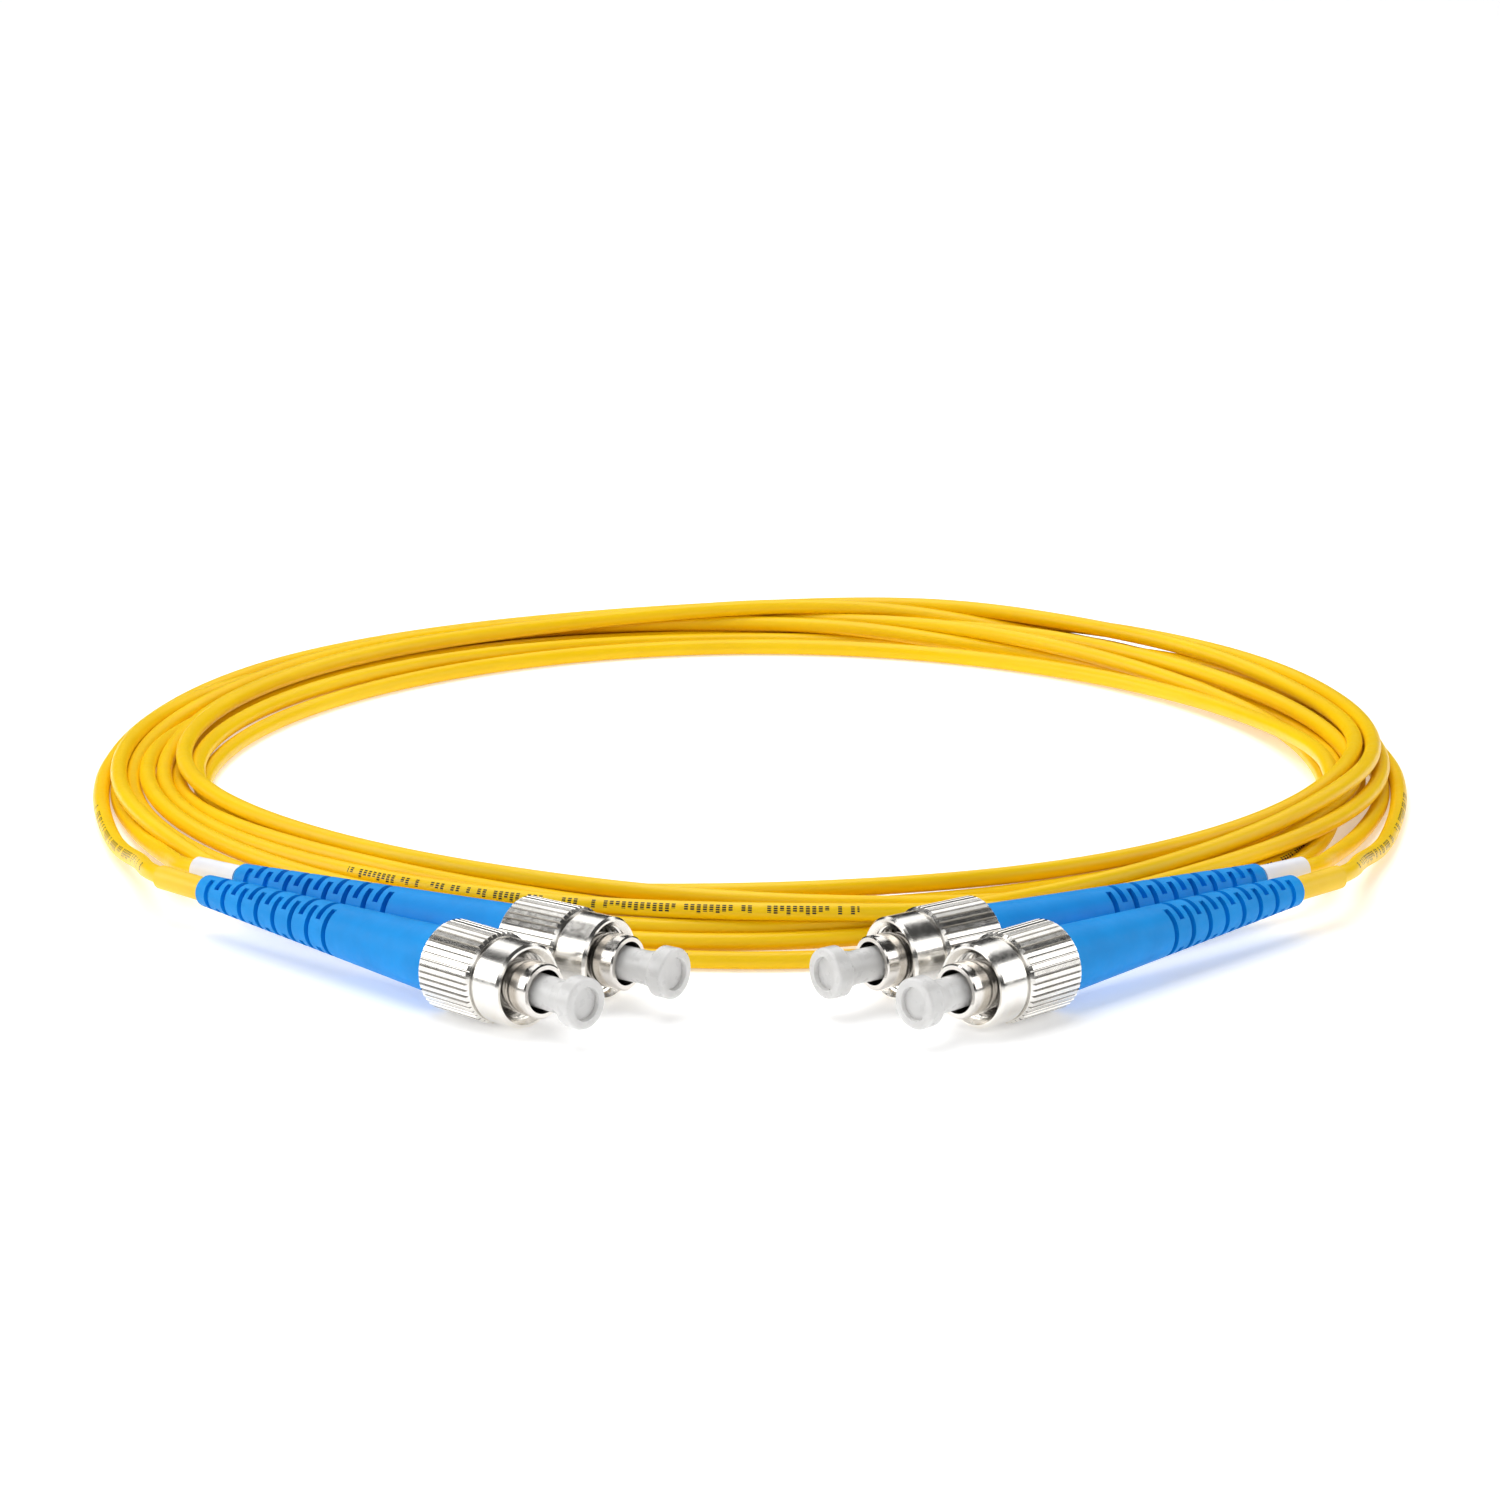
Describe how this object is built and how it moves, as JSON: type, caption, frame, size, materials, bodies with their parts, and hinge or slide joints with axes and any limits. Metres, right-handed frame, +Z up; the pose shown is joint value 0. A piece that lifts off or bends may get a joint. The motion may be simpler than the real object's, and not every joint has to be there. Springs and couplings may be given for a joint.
{
  "type": "fiber optic patch cord",
  "caption": "Coiled duplex fibre patch cord with knurled threaded round connectors, slotted boots and push-on dust caps on its ends.",
  "frame": {"origin": "on the surface that the cord lies on, under the middle of the four connectors", "axes": "+X to the right across the two mirrored pairs of connectors, +Y from the connectors towards the coil, +Z up"},
  "size_m": [0.158, 0.1884, 0.01],
  "materials": {
    "jacket_yellow": "smooth, slightly glossy yellow cable jacket",
    "sleeve_yellow": "satin yellow sleeve",
    "label_white": "satin white label film",
    "boot_blue": "satin moulded soft plastic",
    "nickel": "bright nickel plate",
    "crimp_metal": "crimped, satin",
    "spring_steel": "plain wire",
    "zirconia": "polished white ceramic",
    "clear_cap": "frosted translucent plastic",
    "fibre_buffer": "smooth"
  },
  "bodies": {
    "cord": {"cable_coil": "jacket_yellow", "plug_barrel_front_left": "nickel", "snap_ring_front_left": "spring_steel", "ferrule_spring_front_left": "spring_steel", "rear_body_front_left": "nickel", "crimp_sleeve_front_left": "crimp_metal", "boot_front_left": "boot_blue", "buffered_fibre_front_left": "fibre_buffer", "cable_lead_front_left": "jacket_yellow", "plug_barrel_front_right": "nickel", "snap_ring_front_right": "spring_steel", "ferrule_spring_front_right": "spring_steel", "rear_body_front_right": "nickel", "crimp_sleeve_front_right": "crimp_metal", "boot_front_right": "boot_blue", "buffered_fibre_front_right": "fibre_buffer", "cable_lead_front_right": "jacket_yellow", "plug_barrel_rear_left": "nickel", "snap_ring_rear_left": "spring_steel", "ferrule_spring_rear_left": "spring_steel", "rear_body_rear_left": "nickel", "crimp_sleeve_rear_left": "crimp_metal", "boot_rear_left": "boot_blue", "buffered_fibre_rear_left": "fibre_buffer", "cable_lead_rear_left": "jacket_yellow", "plug_barrel_rear_right": "nickel", "snap_ring_rear_right": "spring_steel", "ferrule_spring_rear_right": "spring_steel", "rear_body_rear_right": "nickel", "crimp_sleeve_rear_right": "crimp_metal", "boot_rear_right": "boot_blue", "buffered_fibre_rear_right": "fibre_buffer", "cable_lead_rear_right": "jacket_yellow", "cable_sleeve_left": "sleeve_yellow", "cable_sleeve_right": "sleeve_yellow", "marker_label_left": "label_white", "marker_label_right": "label_white"},
    "nut_front_left": {"coupling_nut_front_left": "nickel"},
    "ferrule_set_front_left": {"ferrule_front_left": "zirconia", "ferrule_flange_front_left": "nickel"},
    "cap_front_left": {"dust_cap_front_left": "clear_cap"},
    "nut_front_right": {"coupling_nut_front_right": "nickel"},
    "ferrule_set_front_right": {"ferrule_front_right": "zirconia", "ferrule_flange_front_right": "nickel"},
    "cap_front_right": {"dust_cap_front_right": "clear_cap"},
    "nut_rear_left": {"coupling_nut_rear_left": "nickel"},
    "ferrule_set_rear_left": {"ferrule_rear_left": "zirconia", "ferrule_flange_rear_left": "nickel"},
    "cap_rear_left": {"dust_cap_rear_left": "clear_cap"},
    "nut_rear_right": {"coupling_nut_rear_right": "nickel"},
    "ferrule_set_rear_right": {"ferrule_rear_right": "zirconia", "ferrule_flange_rear_right": "nickel"},
    "cap_rear_right": {"dust_cap_rear_right": "clear_cap"}
  },
  "joints": [
    {"name": "nut_spin_front_left", "type": "hinge", "parent": "cord", "child": "nut_front_left", "pos_m": [-0.02779, -0.01322, 0.005], "axis": [0.7071, -0.7071, 0], "continuous": true},
    {"name": "ferrule_push_front_left", "type": "slide", "parent": "cord", "child": "ferrule_set_front_left", "axis": [0.7071, -0.7071, 0], "range_m": [-0.001, 0], "stiffness_N_per_m": 2000, "deforming": ["ferrule_spring_front_left"]},
    {"name": "cap_pull_front_left", "type": "slide", "parent": "ferrule_set_front_left", "child": "cap_front_left", "axis": [0.7071, -0.7071, 0], "range_m": [0, 0.007]},
    {"name": "nut_spin_front_right", "type": "hinge", "parent": "cord", "child": "nut_front_right", "pos_m": [0.02779, -0.01322, 0.005], "axis": [-0.7071, -0.7071, 0], "continuous": true},
    {"name": "ferrule_push_front_right", "type": "slide", "parent": "cord", "child": "ferrule_set_front_right", "axis": [-0.7071, -0.7071, 0], "range_m": [-0.001, 0], "stiffness_N_per_m": 2000, "deforming": ["ferrule_spring_front_right"]},
    {"name": "cap_pull_front_right", "type": "slide", "parent": "ferrule_set_front_right", "child": "cap_front_right", "axis": [-0.7071, -0.7071, 0], "range_m": [0, 0.007]},
    {"name": "nut_spin_rear_left", "type": "hinge", "parent": "cord", "child": "nut_rear_left", "pos_m": [-0.0199, -0.00368, 0.005], "axis": [0.7986, -0.6018, 0], "continuous": true},
    {"name": "ferrule_push_rear_left", "type": "slide", "parent": "cord", "child": "ferrule_set_rear_left", "axis": [0.7986, -0.6018, 0], "range_m": [-0.001, 0], "stiffness_N_per_m": 2000, "deforming": ["ferrule_spring_rear_left"]},
    {"name": "cap_pull_rear_left", "type": "slide", "parent": "ferrule_set_rear_left", "child": "cap_rear_left", "axis": [0.7986, -0.6018, 0], "range_m": [0, 0.007]},
    {"name": "nut_spin_rear_right", "type": "hinge", "parent": "cord", "child": "nut_rear_right", "pos_m": [0.0199, -0.00368, 0.005], "axis": [-0.7986, -0.6018, 0], "continuous": true},
    {"name": "ferrule_push_rear_right", "type": "slide", "parent": "cord", "child": "ferrule_set_rear_right", "axis": [-0.7986, -0.6018, 0], "range_m": [-0.001, 0], "stiffness_N_per_m": 2000, "deforming": ["ferrule_spring_rear_right"]},
    {"name": "cap_pull_rear_right", "type": "slide", "parent": "ferrule_set_rear_right", "child": "cap_rear_right", "axis": [-0.7986, -0.6018, 0], "range_m": [0, 0.007]}
  ]
}
